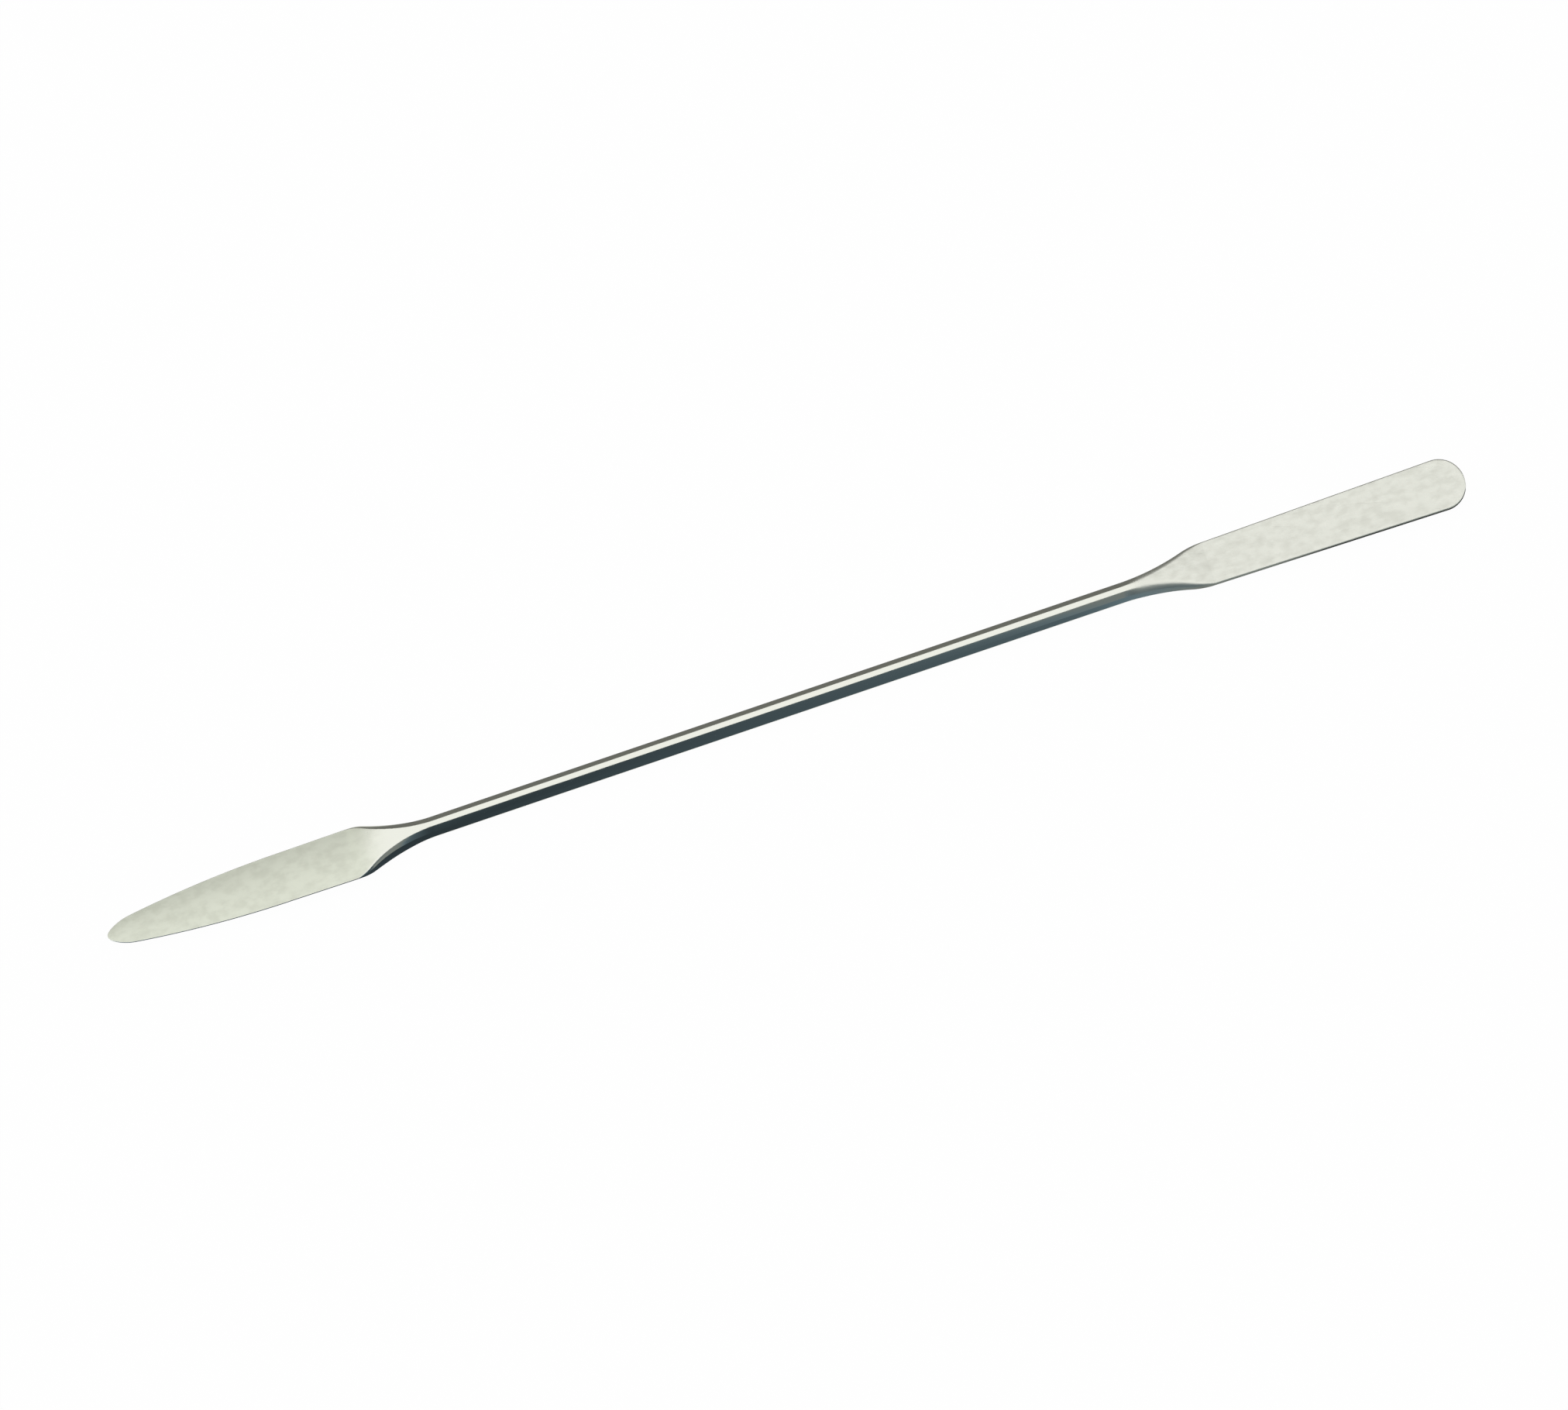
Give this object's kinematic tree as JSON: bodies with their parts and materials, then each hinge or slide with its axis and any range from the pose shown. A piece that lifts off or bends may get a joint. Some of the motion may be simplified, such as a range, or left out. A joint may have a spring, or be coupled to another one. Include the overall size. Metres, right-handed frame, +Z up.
{
  "type": "lab spatula",
  "caption": "Double-ended laboratory spatula forged from one round steel rod, with a flat round-ended blade at one end and a thin, slightly crowned lance blade at the other.",
  "frame": {"origin": "midway between the two ends, on the surface that the shank's underside rests on", "axes": "+X along the spatula towards the round end, +Y across the blades, +Z up and square to the round blade's flat faces"},
  "size_m": [0.21, 0.0088, 0.003],
  "materials": {
    "stainless_steel": "polished shank, satin blade faces"
  },
  "bodies": {
    "root": {"spatula": "stainless_steel"}
  },
  "joints": []
}
